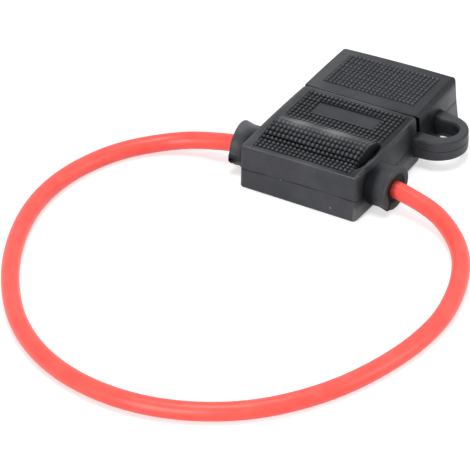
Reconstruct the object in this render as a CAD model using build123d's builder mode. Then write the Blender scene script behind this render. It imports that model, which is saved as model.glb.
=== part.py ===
"""Inline holder for a blade fuse, with its cap on a moulded strap and an uncut loop of cable.

Lengths are millimetres. X is across the holder, from gland to gland, Y runs from the closed front end to
the cap, and Z is up. The origin is on the flat underside, at the middle of the body's length and width.
"""

import math
import os

from build123d import *

# Outer moulding
body_length = 28.8
body_front_width = 28.4
body_seam_flare = 0.4
body_side_swell = 0.3
thickness = 10.6
parting_height = 5.0
upper_draft_angle = 2.0
lower_draft_angle = 0.5
corner_radius = 0.7
seam_corner_radius = 0.5
edge_radius = 0.3

# Cap
cap_length = 18.4
cap_seam_step = 0.4
cap_end_taper = 0.8
cap_side_swell = 0.1
cap_end_wall = 2.0
seam_gap = 0.2
cap_fit = 0.15

# Grip panels: small pyramids on a low bed, with a plain window in the body's panel
grip_rise = 0.35
grip_bed = 0.05
grip_root = 0.3
body_grip_margin = 2.2
body_grip_front_margin = 1.4
body_grip_back_margin = 1.5
body_grip_columns = 23
cap_grip_margin = 2.9
cap_grip_front_margin = 3.5
cap_grip_back_margin = 1.9
cap_grip_columns = 22
cap_grip_rows = 12
window_columns = 15
window_rows = 4
window_back_rows = 2.5

# Hump over the crimps: places along Y from the gland axis, heights above the bed, and rows of pyramids
hump_front_reach = 3.6
hump_ledge_reach = 2.5
hump_crest_offset = 1.4
hump_back_reach = 7.8
hump_step = 0.25
hump_ledge_rise = 0.1
hump_height = 1.5
foot_rows = 3
ledge_rows = 1
rise_rows = 3
fall_rows = 5
flat_rows = 9
cheek_depth = 0.9
cheek_bulge = 1.1
cheek_front_reach = 3.4
cheek_back_reach = 7.0

# Glands and cable
gland_y = -6.0
gland_radius = 4.7
gland_length = 5.0
gland_rim_radius = 0.3
cable_diameter = 3.9
conductor_diameter = 2.4
cable_fit = 0.05
core_fit = 0.03
cable_inset = 1.0

# Collar that the cap slides over
collar_length = 6.0
collar_width = 22.4
collar_thickness = 7.4
collar_corner = 1.0
collar_lead_in = 0.4

# Blade fuse
fuse_head_width = 19.1
fuse_head_thickness = 5.1
fuse_head_height = 5.5
fuse_skirt_width = 16.2
fuse_skirt_thickness = 3.9
fuse_skirt_height = 6.8
fuse_edge = 0.35
blade_length = 6.9
blade_width = 5.2
blade_thickness = 0.65
blade_pitch = 9.9
blade_tip_chamfer = 1.0
blade_top_margin = 1.4
link_width = 0.9
link_drop = 4.0
chamber_thickness = 2.4
probe_width = 2.0
probe_thickness = 1.1
element_fit = 0.04

# Pocket in the collar
pocket_depth = 4.7
pocket_fit = 0.25
pocket_floor_wall = 1.4
fuse_floor_gap = 0.2
blade_slot_fit = 0.2

# Terminals
stock = 0.4
blade_grip = 0.05
curl_height = 1.2
receptacle_length = 10.0
neck_width = 4.0
flag_width = 3.8
flag_overhang = 0.2
ramp_run = 1.0
ramp_lead = 0.8
spine_width = 2.0
wire_barrel_length = 3.4
insulation_barrel_length = 2.6
barrel_spacing = 0.9
barrel_gap_angle = 24.0
wire_fit = 0.05
moulding_gap = 0.1
conductor_stub = 0.4
strip_margin = 0.2

# Strap between the body and the cap
strap_height = 4.4
strap_root_step = 0.5
strap_root_fillet = 1.5
strap_near_y = 10.9
strap_near_leg = 3.3
strap_eye_width = 7.3
strap_far_leg = 3.4
strap_outer_radius = 6.5
strap_tip_wall = 2.2
strap_straight = 2.9
strap_edge = 0.4

arc_share = 0.45

# Widths that follow from the body's
body_seam_width = body_front_width + body_seam_flare
cap_seam_width = body_seam_width + cap_seam_step
cap_end_width = cap_seam_width - cap_end_taper
body_grip_width = body_front_width - 2 * body_grip_margin
cap_grip_width = cap_end_width - 2 * cap_grip_margin
gland_reach = body_front_width / 2 + gland_length
strap_root_x = body_seam_width / 2 + strap_root_step

# Cable route: centreline points from inside the right gland, round on the floor, to inside the left one
cable_route = [
    (gland_reach - cable_inset, -5.9, 5.1),
    (27.6, -6.9, 4.0),
    (35.4, -11.2, 2.5),
    (41.8, -18.6, 1.95),
    (46.2, -29.5, 1.95),
    (48.4, -42.5, 1.95),
    (46.3, -57.8, 1.95),
    (40.0, -74.0, 1.95),
    (28.2, -88.0, 1.95),
    (10.8, -95.6, 1.95),
    (-8.4, -94.6, 1.95),
    (-25.6, -85.4, 1.95),
    (-39.4, -68.4, 1.95),
    (-47.6, -49.5, 1.95),
    (-49.2, -33.5, 1.95),
    (-44.8, -18.8, 1.95),
    (-37.2, -10.0, 2.1),
    (-28.2, -6.2, 3.5),
    (cable_inset - gland_reach, -6.0, 5.05),
]

# Places along Y
front_y = -body_length / 2
seam_y = body_length / 2
cap_front_y = seam_y + seam_gap
cap_end_y = cap_front_y + cap_length
cap_inner_end_y = cap_end_y - cap_end_wall
collar_mouth_y = seam_y + collar_length
pocket_floor_y = collar_mouth_y - pocket_depth
skirt_bottom_y = pocket_floor_y + fuse_floor_gap
head_bottom_y = skirt_bottom_y + fuse_skirt_height
fuse_top_y = head_bottom_y + fuse_head_height
blade_tip_y = skirt_bottom_y - blade_length
receptacle_end_y = pocket_floor_y - pocket_floor_wall
receptacle_start_y = receptacle_end_y - receptacle_length

# Places across X and shared radii
blade_x = blade_pitch / 2
cable_radius = cable_diameter / 2
conductor_radius = conductor_diameter / 2
wire_barrel_radius = conductor_radius + wire_fit + stock / 2
insulation_barrel_radius = cable_radius + wire_fit + stock / 2
flag_end_x = blade_x + neck_width / 2 + flag_overhang
ramp_end_x = flag_end_x + ramp_run
wire_barrel_x = ramp_end_x + ramp_lead
wire_barrel_end_x = wire_barrel_x + wire_barrel_length
insulation_barrel_x = wire_barrel_end_x + barrel_spacing
insulation_barrel_end_x = insulation_barrel_x + insulation_barrel_length

# Receptacle section: the base plate and the curls that press a blade onto it, about the blade's middle
base_z = -(blade_thickness / 2 + blade_grip + stock / 2)
curl_radius = (curl_height - base_z) / 2
curl_z = (curl_height + base_z) / 2
curl_inner = curl_radius - stock / 2
curl_x = blade_width / 2 + blade_grip - math.sqrt(curl_inner**2 - (curl_z + blade_thickness / 2) ** 2)
curl_tip_rise = blade_thickness / 2 + blade_grip - curl_z
curl_sweep = 270 - math.degrees(math.asin(curl_tip_rise / curl_inner))
receptacle_half_width = curl_x + curl_radius + stock / 2
receptacle_top = curl_height + stock / 2
plate_bottom = base_z - stock / 2


def plan_outline(height, inset, near_y, far_y, near_width, far_width, swell, near_corner, far_corner):
    """Sketch a plan outline at a height, inset on every side but the seam's, with rounded corners."""
    near_half = near_width / 2 - inset
    far_half = far_width / 2 - inset
    middle_half = (near_half + far_half) / 2 + swell
    middle_y = (near_y + far_y) / 2
    near_edge = near_y + inset if near_y == front_y else near_y
    far_edge = far_y - inset if far_y == cap_end_y else far_y
    with BuildSketch(Plane.XY.offset(height)) as outline:
        with BuildLine():
            Line((-near_half, near_edge), (near_half, near_edge))
            ThreePointArc((near_half, near_edge), (middle_half, middle_y), (far_half, far_edge))
            Line((far_half, far_edge), (-far_half, far_edge))
            ThreePointArc((-far_half, far_edge), (-middle_half, middle_y), (-near_half, near_edge))
        make_face()
        fillet(outline.vertices().sort_by(Axis.Y)[:2], radius=near_corner)
        fillet(outline.vertices().sort_by(Axis.Y)[-2:], radius=far_corner)
    return outline.sketch


def moulded_block(*shape):
    """Make a block in two halves that taper away from the parting plane, with rounded rims."""
    upper_inset = (thickness - parting_height) * math.tan(math.radians(upper_draft_angle))
    lower_inset = parting_height * math.tan(math.radians(lower_draft_angle))
    widest = plan_outline(parting_height, 0, *shape)
    with BuildPart() as block:
        loft([widest, plan_outline(thickness, upper_inset, *shape)], ruled=True)
        loft([widest, plan_outline(0, lower_inset, *shape)], ruled=True)
        faces_by_height = block.faces().sort_by(Axis.Z)
        fillet(faces_by_height[0].edges() + faces_by_height[-1].edges(), radius=edge_radius)
    return block.part


def row_marks(near_y, far_y, rows, near_rise, far_rise):
    """List the place and rise at each row's edge: a climb is a quarter of a sine, a fall half a cosine."""
    marks = []
    for row in range(rows + 1):
        share = row / rows
        if far_rise > near_rise:
            rise = near_rise + (far_rise - near_rise) * math.sin(math.pi / 2 * share)
        else:
            rise = far_rise + (near_rise - far_rise) * (1 + math.cos(math.pi * share)) / 2
        marks.append((round(near_y + share * (far_y - near_y), 6), round(rise, 6)))
    return marks


def grip_panel(width, columns, *zones):
    """Make pyramids where ridges along Y, which climb and fall with the zones, cross ridges along X."""
    bed_top = thickness + grip_bed
    half_pitch = width / columns / 2
    teeth = [(edge * half_pitch - width / 2, grip_rise * (edge % 2)) for edge in range(2 * columns + 1)]
    crossing = []
    with BuildPart() as panel:
        for zone in zones:
            marks = row_marks(*zone)
            for (near_y, near_rise), (far_y, far_rise) in zip(marks, marks[1:]):
                middle = ((near_y + far_y) / 2, bed_top + (near_rise + far_rise) / 2 + grip_rise)
                crossing += [(near_y, bed_top + near_rise), middle]
            crossing.append((far_y, bed_top + far_rise))
            if near_rise == far_rise:
                marks = [marks[0], marks[-1]]
            for (near_y, near_rise), (far_y, far_rise) in zip(marks, marks[1:]):
                root = -grip_root - near_rise
                start = Plane(origin=(0, near_y, bed_top + near_rise), x_dir=(-1, 0, 0), z_dir=(0, 1, 0))
                with BuildSketch(start):
                    with BuildLine():
                        Polyline((-width / 2, root), *teeth, (width / 2, root), close=True)
                    make_face()
                run = (0, far_y - near_y, far_rise - near_rise)
                extrude(amount=math.hypot(*run), dir=run)
        crossing = list(dict.fromkeys(crossing))
        floor = bed_top - grip_root - hump_height
        with BuildSketch(Plane.YZ):
            with BuildLine():
                Polyline((crossing[0][0], floor), *crossing, (crossing[-1][0], floor), close=True)
            make_face()
        extrude(amount=width / 2, both=True, mode=Mode.INTERSECT)
    return panel.part


body_shape = (
    front_y, seam_y, body_front_width, body_seam_width, body_side_swell, corner_radius, seam_corner_radius
)
cap_shape = (
    cap_front_y, cap_end_y, cap_seam_width, cap_end_width, cap_side_swell, seam_corner_radius, corner_radius
)
hump_front = gland_y - hump_front_reach
hump_ledge = gland_y - hump_ledge_reach
hump_crest = gland_y + hump_crest_offset
hump_back = gland_y + hump_back_reach
body_grip_back = seam_y - body_grip_back_margin
flat_row = (body_grip_back - hump_back) / flat_rows
window_back = body_grip_back - window_back_rows * flat_row
window_length = window_rows * flat_row
window_width = window_columns * body_grip_width / body_grip_columns
body_grip_half = body_grip_width / 2
root_centre = (body_front_width / 2 + strap_root_fillet, strap_near_y - strap_root_fillet)
root_angle = math.degrees(math.acos((strap_root_x - root_centre[0]) / strap_root_fillet))
seam_plane = Plane(origin=(0, seam_y, parting_height), x_dir=(-1, 0, 0), z_dir=(0, 1, 0))
gland_plane = Plane(origin=(0, gland_y, parting_height), x_dir=(0, 1, 0), z_dir=(1, 0, 0))

# Body's grip: flat at its foot, two small steps, the swell of the hump and a flat with a window behind it
with BuildPart() as body_grip:
    ledge_end = hump_step + hump_ledge_rise
    add(
        grip_panel(
            body_grip_width,
            body_grip_columns,
            (front_y + body_grip_front_margin, hump_front, foot_rows, 0, 0),
            (hump_front, hump_ledge, ledge_rows, hump_step, ledge_end),
            (hump_ledge, hump_crest, rise_rows, ledge_end + hump_step, hump_height),
            (hump_crest, hump_back, fall_rows, hump_height, 0),
            (hump_back, body_grip_back, flat_rows, 0, 0),
        )
    )
    with BuildSketch(Plane.XY.offset(thickness)) as window_plan:
        with Locations((0, window_back - window_length / 2)):
            Rectangle(window_width, window_length)
    extrude(amount=grip_bed + grip_rise, mode=Mode.SUBTRACT)

# Body: the block, its glands, cheeks and collar, hollowed for the fuse, terminals and wires
with BuildPart() as holder_body:
    add(moulded_block(*body_shape))
    with BuildSketch(gland_plane) as gland_section:
        Circle(gland_radius)
    extrude(amount=gland_reach, both=True)
    gland_rims = holder_body.edges().filter_by(GeomType.CIRCLE).group_by(Axis.X)
    fillet(gland_rims[0] + gland_rims[-1], radius=gland_rim_radius)

    # Cheeks: a crescent hollow at each end of the hump
    with BuildSketch(Plane.XY.offset(thickness - cheek_depth)) as cheek_plan:
        cheek_front = gland_y - cheek_front_reach
        cheek_back = gland_y + cheek_back_reach
        for side in (-1, 1):
            with BuildLine():
                cheek_chord = Line((side * body_grip_half, cheek_front), (side * body_grip_half, cheek_back))
                ThreePointArc(
                    cheek_chord @ 1,
                    (side * (body_grip_half + cheek_bulge), (cheek_front + cheek_back) / 2),
                    cheek_chord @ 0,
                )
            make_face()
    extrude(amount=cheek_depth, mode=Mode.SUBTRACT)

    # Collar with a lead-in at its mouth
    with BuildSketch(seam_plane) as collar_section:
        RectangleRounded(collar_width, collar_thickness, collar_corner)
    extrude(amount=collar_length)
    mouth = holder_body.faces().sort_by(Axis.Y)[-1]
    chamfer(mouth.edges(), length=collar_lead_in)

    # Strap root on the right side wall, with a fillet on its near side
    with BuildSketch(Plane.XY.offset(parting_height - strap_height / 2)) as near_root:
        with BuildLine():
            root_arc = CenterArc(root_centre, strap_root_fillet, root_angle, 180 - root_angle)
            Polyline(
                root_arc @ 1,
                (body_front_width / 2 - edge_radius, root_centre[1]),
                (body_front_width / 2 - edge_radius, strap_near_y + strap_near_leg),
                (strap_root_x, strap_near_y + strap_near_leg),
                root_arc @ 0,
            )
        make_face()
    extrude(amount=strap_height)

    # Pocket for the fuse's skirt and slots for its blades
    pocket_plane = Plane(origin=(0, collar_mouth_y, parting_height), x_dir=(1, 0, 0), z_dir=(0, -1, 0))
    with BuildSketch(pocket_plane) as pocket_section:
        Rectangle(fuse_skirt_width + 2 * pocket_fit, fuse_skirt_thickness + 2 * pocket_fit)
    extrude(amount=pocket_depth, mode=Mode.SUBTRACT)
    with BuildSketch(pocket_plane.offset(pocket_depth)) as slot_section:
        with GridLocations(blade_pitch, 0, 2, 1):
            Rectangle(blade_width + 2 * blade_slot_fit, blade_thickness + 2 * blade_slot_fit)
    extrude(amount=pocket_floor_wall, mode=Mode.SUBTRACT)

    # Beds of the terminals: receptacle, neck and crimp barrels
    receptacle_plane = pocket_plane.offset(pocket_depth + pocket_floor_wall - moulding_gap)
    bed_bottom = plate_bottom - moulding_gap
    bed_top = receptacle_top + moulding_gap
    with BuildSketch(receptacle_plane) as receptacle_beds:
        with GridLocations(blade_pitch, 0, 2, 1):
            with Locations((0, (bed_bottom + bed_top) / 2)):
                Rectangle(2 * (receptacle_half_width + moulding_gap), bed_top - bed_bottom)
    extrude(amount=receptacle_length + 2 * moulding_gap, mode=Mode.SUBTRACT)
    with BuildSketch(Plane.XY.offset(parting_height + bed_bottom)) as neck_beds:
        for side in (-1, 1):
            with BuildLine():
                inner_x = side * (blade_x - neck_width / 2 - moulding_gap)
                outer_x = side * (blade_x + neck_width / 2 + moulding_gap)
                arm_x = side * (flag_end_x + moulding_gap)
                near_edge = gland_y - flag_width / 2 - moulding_gap
                arm_edge = gland_y + flag_width / 2 + moulding_gap
                Polyline(
                    (inner_x, near_edge),
                    (arm_x, near_edge),
                    (arm_x, arm_edge),
                    (outer_x, arm_edge),
                    (outer_x, receptacle_start_y),
                    (inner_x, receptacle_start_y),
                    close=True,
                )
            make_face()
    extrude(amount=stock + 2 * moulding_gap, mode=Mode.SUBTRACT)
    barrel_bed_radius = math.hypot(insulation_barrel_radius + stock / 2, spine_width / 2) + moulding_gap
    barrel_bed_end = insulation_barrel_end_x + moulding_gap
    with BuildSketch(gland_plane.offset(flag_end_x)) as right_barrel_bed:
        Circle(barrel_bed_radius)
    extrude(amount=barrel_bed_end - flag_end_x, mode=Mode.SUBTRACT)
    with BuildSketch(gland_plane.offset(-flag_end_x)) as left_barrel_bed:
        Circle(barrel_bed_radius)
    extrude(amount=-(barrel_bed_end - flag_end_x), mode=Mode.SUBTRACT)

    # Bores for the cable through both glands
    with BuildSketch(gland_plane.offset(barrel_bed_end)) as right_bore:
        Circle(cable_radius + cable_fit)
    extrude(amount=gland_reach - barrel_bed_end, mode=Mode.SUBTRACT)
    with BuildSketch(gland_plane.offset(-barrel_bed_end)) as left_bore:
        Circle(cable_radius + cable_fit)
    extrude(amount=-(gland_reach - barrel_bed_end), mode=Mode.SUBTRACT)
    add(body_grip.part)

# Cap: a tapered block, hollowed to slide over the collar and to clear the fuse
with BuildPart() as cap:
    add(moulded_block(*cap_shape))
    eye_far = strap_near_y + strap_near_leg + strap_eye_width
    with BuildSketch(Plane.XY.offset(parting_height - strap_height / 2)) as far_root:
        with BuildLine():
            Polyline(
                (cap_end_width / 2 - edge_radius, eye_far),
                (strap_root_x, eye_far),
                (strap_root_x, eye_far + strap_far_leg),
                (cap_end_width / 2 - edge_radius, eye_far + strap_far_leg),
                close=True,
            )
        make_face()
    extrude(amount=strap_height)
    with BuildSketch(seam_plane) as cavity_section:
        RectangleRounded(collar_width + 2 * cap_fit, collar_thickness + 2 * cap_fit, collar_corner + cap_fit)
    extrude(amount=cap_inner_end_y - seam_y, mode=Mode.SUBTRACT)
    cap_grip_front = cap_front_y + cap_grip_front_margin
    cap_grip_back = cap_end_y - cap_grip_back_margin
    add(grip_panel(cap_grip_width, cap_grip_columns, (cap_grip_front, cap_grip_back, cap_grip_rows, 0, 0)))

# Strap: a flat loop, thick at its roots and thin at its tip, whose far side slants to the cap
with BuildPart() as tether_strap:
    with BuildSketch(Plane.XY.offset(parting_height - strap_height / 2)) as loop_plan:
        outer_centre = (strap_root_x + strap_straight, strap_near_y + strap_outer_radius)
        far_root_corner = (strap_root_x, eye_far + strap_far_leg)
        corner_reach = math.dist(far_root_corner, outer_centre)
        corner_angle = math.atan2(far_root_corner[1] - outer_centre[1], far_root_corner[0] - outer_centre[0])
        slant_angle = math.degrees(corner_angle - math.acos(strap_outer_radius / corner_reach))
        eye_near = strap_near_y + strap_near_leg
        eye_radius = strap_eye_width / 2
        eye_x = outer_centre[0] + strap_outer_radius - strap_tip_wall - eye_radius
        with BuildLine():
            CenterArc(root_centre, strap_root_fillet, 90, root_angle - 90)
            Line((root_centre[0], strap_near_y), (outer_centre[0], strap_near_y))
            outer_arc = CenterArc(outer_centre, strap_outer_radius, -90, 90 + slant_angle)
            Line(outer_arc @ 1, far_root_corner)
            Line(far_root_corner, (strap_root_x, eye_far))
            Line((strap_root_x, eye_far), (eye_x, eye_far))
            CenterArc((eye_x, eye_near + eye_radius), eye_radius, -90, 180)
            Line((eye_x, eye_near), (strap_root_x, eye_near))
            Line((strap_root_x, eye_near), root_arc @ 0)
        make_face()
    extrude(amount=strap_height)
    rims = tether_strap.edges().filter_by(Plane.XY).filter_by(
        lambda edge: edge.center().X > strap_root_x + strap_edge
    )
    fillet(rims, radius=strap_edge)

# Right terminal: rolled receptacle, neck, flag turned outward, and two crimp barrels
with BuildPart() as terminal_right:
    with BuildSketch(
        Plane(origin=(blade_x, receptacle_end_y, parting_height), x_dir=(1, 0, 0), z_dir=(0, -1, 0))
    ) as receptacle_section:
        with BuildLine():
            Line((-curl_x, base_z), (curl_x, base_z))
            CenterArc((curl_x, curl_z), curl_radius, -90, curl_sweep)
            CenterArc((-curl_x, curl_z), curl_radius, -90, -curl_sweep)
        trace(line_width=stock)
    extrude(amount=receptacle_length)
    with BuildSketch(Plane.XY.offset(parting_height + plate_bottom)) as flag_plan:
        with BuildLine():
            Polyline(
                (blade_x - neck_width / 2, gland_y - flag_width / 2),
                (flag_end_x, gland_y - flag_width / 2),
                (flag_end_x, gland_y + flag_width / 2),
                (blade_x + neck_width / 2, gland_y + flag_width / 2),
                (blade_x + neck_width / 2, receptacle_start_y),
                (blade_x - neck_width / 2, receptacle_start_y),
                close=True,
            )
        make_face()
    extrude(amount=stock)
    with BuildSketch(
        Plane(origin=(0, gland_y, parting_height), x_dir=(1, 0, 0), z_dir=(0, -1, 0))
    ) as spine_section:
        spine = [
            (flag_end_x - stock, base_z),
            (flag_end_x, base_z),
            (ramp_end_x, -wire_barrel_radius),
            (wire_barrel_end_x, -wire_barrel_radius),
            (insulation_barrel_x, -insulation_barrel_radius),
            (insulation_barrel_end_x, -insulation_barrel_radius),
        ]
        upper = [(x, z + stock / 2) for x, z in spine]
        lower = [(x, z - stock / 2) for x, z in reversed(spine)]
        with BuildLine():
            Polyline(*upper, *lower, close=True)
        make_face()
    extrude(amount=spine_width / 2, both=True)
    barrel_sweep = 360 - barrel_gap_angle
    barrel_start = 90 + barrel_gap_angle / 2
    with BuildSketch(gland_plane.offset(wire_barrel_x)) as wire_barrel_section:
        with BuildLine():
            CenterArc((0, 0), wire_barrel_radius, barrel_start, barrel_sweep)
        trace(line_width=stock)
    extrude(amount=wire_barrel_length)
    with BuildSketch(gland_plane.offset(insulation_barrel_x)) as insulation_barrel_section:
        with BuildLine():
            CenterArc((0, 0), insulation_barrel_radius, barrel_start, barrel_sweep)
        trace(line_width=stock)
    extrude(amount=insulation_barrel_length)

with BuildPart() as terminal_left:
    mirror(terminal_right.part, about=Plane.YZ)

# Stripped conductor in the wire barrel, running on inside the insulation
with BuildPart() as conductor_right:
    with BuildSketch(gland_plane.offset(wire_barrel_x - conductor_stub)):
        Circle(conductor_radius)
    extrude(amount=gland_reach - wire_barrel_x + conductor_stub)

with BuildPart() as conductor_left:
    mirror(conductor_right.part, about=Plane.YZ)

# Insulation from the gland's face into its crimp barrel
with BuildPart() as insulation_right:
    with BuildSketch(gland_plane.offset(insulation_barrel_x - strip_margin)):
        Circle(cable_radius)
        Circle(conductor_radius + core_fit, mode=Mode.SUBTRACT)
    extrude(amount=gland_reach - insulation_barrel_x + strip_margin)

with BuildPart() as insulation_left:
    mirror(insulation_right.part, about=Plane.YZ)

# Cable: straight runs joined by tangent arcs, trimmed flush with the glands' faces
route_points = [Vector(*point) for point in cable_route]
route_radii = []
for before, here, after in zip(route_points, route_points[1:], route_points[2:]):
    run_in = here - before
    run_out = after - here
    half_turn = math.radians(run_in.get_angle(run_out)) / 2
    route_radii.append(arc_share * min(run_in.length, run_out.length) / math.tan(half_turn))
with BuildPart() as cable:
    with BuildLine() as cable_line:
        FilletPolyline(*route_points, radius=route_radii)
    with BuildSketch(Plane(origin=cable_line.line @ 0, z_dir=cable_line.line % 0)):
        Circle(cable_radius)
    sweep()
    with Locations((0, gland_y, parting_height)):
        Box(2 * gland_reach, 3 * cable_diameter, 3 * cable_diameter, mode=Mode.SUBTRACT)

# Fuse element: two blades and the link that melts, cut from one sheet
with BuildPart() as fuse_element:
    with BuildSketch(Plane.XY.offset(parting_height - blade_thickness / 2)) as element_plan:
        blade_top_y = fuse_top_y - blade_top_margin
        with GridLocations(blade_pitch, 0, 2, 1):
            with Locations((0, (blade_tip_y + blade_top_y) / 2)):
                Rectangle(blade_width, blade_top_y - blade_tip_y)
        tips = element_plan.vertices().group_by(Axis.Y)[0]
        chamfer(tips, length=blade_tip_chamfer)
        with BuildLine():
            link_reach = blade_x - blade_width / 2
            link_y = blade_top_y - link_drop
            ThreePointArc((-link_reach, link_y), (0, link_y + link_reach), (link_reach, link_y))
        trace(line_width=link_width)
    extrude(amount=blade_thickness)

# Fuse housing: a thick head over a thinner skirt, moulded round the blades, open below the link
with BuildPart() as fuse_housing:
    with BuildSketch(pocket_plane.offset(collar_mouth_y - head_bottom_y)) as skirt_section:
        Rectangle(fuse_skirt_width, fuse_skirt_thickness)
    extrude(amount=fuse_skirt_height)
    with BuildSketch(pocket_plane.offset(collar_mouth_y - head_bottom_y)) as head_section:
        Rectangle(fuse_head_width, fuse_head_thickness)
    extrude(amount=-fuse_head_height)
    head_edges = fuse_housing.faces().sort_by(Axis.Y)[-1].edges() + fuse_housing.edges().filter_by(
        Axis.Y
    )
    chamfer(head_edges, length=fuse_edge)
    with BuildSketch(pocket_plane.offset(collar_mouth_y - fuse_top_y)) as probe_section:
        with GridLocations(blade_pitch, 0, 2, 1):
            Rectangle(probe_width, probe_thickness)
    extrude(amount=blade_top_margin, mode=Mode.SUBTRACT)
    with BuildSketch(pocket_plane.offset(collar_mouth_y - skirt_bottom_y)) as channel_section:
        with GridLocations(blade_pitch, 0, 2, 1):
            Rectangle(blade_width + 2 * element_fit, blade_thickness + 2 * element_fit)
        Rectangle(blade_pitch - blade_width + 2 * element_fit, chamber_thickness)
    extrude(amount=-(blade_top_y + element_fit - skirt_bottom_y), mode=Mode.SUBTRACT)

pieces = {
    "holder_body": holder_body,
    "cap": cap,
    "tether_strap": tether_strap,
    "terminal_left": terminal_left,
    "terminal_right": terminal_right,
    "conductor_left": conductor_left,
    "conductor_right": conductor_right,
    "insulation_left": insulation_left,
    "insulation_right": insulation_right,
    "cable": cable,
    "fuse_element": fuse_element,
    "fuse_housing": fuse_housing,
}
os.makedirs("parts", exist_ok=True)
for name, piece in pieces.items():
    piece.part.label = name
    export_step(piece.part, f"parts/{name}.step")

cable_length = sum(edge.length for edge in cable_line.line.edges())
print("cable arc radii", [round(radius, 1) for radius in route_radii])
print("cable length", round(cable_length, 1))
section_volume = math.pi * cable_radius**2 * cable_length
print("tube volume over section times length", round(cable.part.volume / section_volume, 4))
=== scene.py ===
# %% [markdown]
# # An inline fuse holder, dressed for its portrait
#
# The real object is a soft black moulding, not quite five centimetres long, with a loop of red cable that
# leaves it on both sides. A blade fuse sits under the cap. The CAD model already has every piece at its
# true size, so this lesson only gives the pieces their surfaces and finishes.
#
# The first cell loads that model as a fixed frame. Everything that follows is in metres in its space, but
# a part this small is easier to think of in millimetres, so shapes are worked out in millimetres and
# scaled once, when they become a mesh.

import math

import bmesh
import bpy
import numpy as np
from mathutils import Matrix, Quaternion, Vector


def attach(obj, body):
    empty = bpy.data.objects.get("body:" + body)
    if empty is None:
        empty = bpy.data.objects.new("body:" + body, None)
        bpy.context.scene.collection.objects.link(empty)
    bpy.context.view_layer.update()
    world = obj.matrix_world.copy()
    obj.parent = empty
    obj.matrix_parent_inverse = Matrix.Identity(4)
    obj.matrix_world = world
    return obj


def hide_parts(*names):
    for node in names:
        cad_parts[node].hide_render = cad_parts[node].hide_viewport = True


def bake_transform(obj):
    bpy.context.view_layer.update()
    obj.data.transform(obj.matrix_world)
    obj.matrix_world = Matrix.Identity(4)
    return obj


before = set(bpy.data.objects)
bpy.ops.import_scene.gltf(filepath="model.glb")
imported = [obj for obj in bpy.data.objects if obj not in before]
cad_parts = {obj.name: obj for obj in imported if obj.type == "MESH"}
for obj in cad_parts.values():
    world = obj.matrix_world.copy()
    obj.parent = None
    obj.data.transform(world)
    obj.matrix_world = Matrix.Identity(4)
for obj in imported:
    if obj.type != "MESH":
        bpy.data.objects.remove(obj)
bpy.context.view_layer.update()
MM = 0.001
scene = bpy.context.scene
print("nodes:", sorted(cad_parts))

# %% [markdown]
# ## The camera
#
# The photograph was taken with a long lens, from the right and from above: edges that run away from the
# camera hardly draw together. The eye's place and the lens below put the moulding's corners within a
# pixel of the photograph's on average, and within two at the worst. The camera leans by a degree, as the
# real one did. Cameras and lamps both look along their own -Z axis, so one function turns them all.


# %% Camera
def put_object(name, data):
    """Make an object and link it to the scene."""
    made = bpy.data.objects.new(name, data)
    scene.collection.objects.link(made)
    return made


def put_facing(name, data, place, target, lean=0.0):
    """Make an object that looks from a place at a target, leaning by an angle in radians."""
    made = put_object(name, data)
    made.location = place
    made.rotation_mode = "QUATERNION"
    turn = (Vector(target) - Vector(place)).to_track_quat("-Z", "Y")
    made.rotation_quaternion = turn @ Quaternion((0, 0, 1), lean)
    return made


eye = Vector((0.27958, -0.51153, 0.37217))
aim = Vector((-0.00577, -0.03155, 0.0))
camera_data = bpy.data.cameras.new("long_lens")
camera_data.sensor_width = 36
camera_data.lens = 241.37
camera_data.clip_start = 0.01
camera_data.clip_end = 10
scene.camera = put_facing("camera", camera_data, eye, aim, lean=math.radians(-1.05))
print("camera to object:", round((eye - aim).length, 3), "m")

# %% [markdown]
# ## Shader maths as sums
#
# Blender's shader maths is a web of small nodes. A class that wraps one socket and knows how to add,
# multiply and compare turns that web back into ordinary expressions, so a material reads like a formula.
# Colours don't go through Math nodes, which would turn them grey: they have their own mixing method.


# %% A socket that can be used in sums
class Wire:
    """An output socket of a material's node tree, with the operators that build Math nodes."""

    def __init__(self, tree, socket):
        self.tree = tree
        self.socket = socket

    def node(self, kind, settings=None, output=0, **inputs):
        """Add any node: its settings first, then the values or wires of its inputs, by name or as i0, i1."""
        made = self.tree.nodes.new(kind)
        for name, value in (settings or {}).items():
            setattr(made, name, value)
        for name, value in inputs.items():
            place = int(name[1:]) if name[0] == "i" and name[1:].isdigit() else name.replace("_", " ")
            if isinstance(value, Wire):
                self.tree.links.new(value.socket, made.inputs[place])
            else:
                made.inputs[place].default_value = value
        return Wire(self.tree, made.outputs[output])

    def math(self, operation, *values):
        """Add a Math node of one operation on this wire and further values."""
        inputs = {f"i{place}": value for place, value in enumerate((self, *values))}
        return self.node("ShaderNodeMath", {"operation": operation}, **inputs)

    def __add__(self, other):
        return self.math("ADD", other)

    def __sub__(self, other):
        return self.math("SUBTRACT", other)

    def __mul__(self, other):
        return self.math("MULTIPLY", other)

    def __rsub__(self, other):
        return (self * -1.0) + other

    __radd__ = __add__
    __rmul__ = __mul__

    def clamp(self):
        """Keep the value between 0 and 1."""
        return self.node("ShaderNodeClamp", i0=self)

    def between(self, low, high):
        """Rise smoothly from 0 at low to 1 at high."""
        settings = {"interpolation_type": "SMOOTHSTEP"}
        return self.node("ShaderNodeMapRange", settings, i0=self, i1=low, i2=high, i3=0.0, i4=1.0)

    def near(self, place, reach):
        """Peak with value 1 at a place, and fade to 0 at the reach on both sides."""
        return 1 - (self - place).math("ABSOLUTE").between(0.0, reach)

    def blend(self, first, second):
        """Mix two colours, by this wire as the share of the second."""
        first, second = (colour if isinstance(colour, Wire) else (*colour, 1.0) for colour in (first, second))
        return self.node("ShaderNodeMix", {"data_type": "RGBA"}, output=2, i0=self, i6=first, i7=second)


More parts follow.
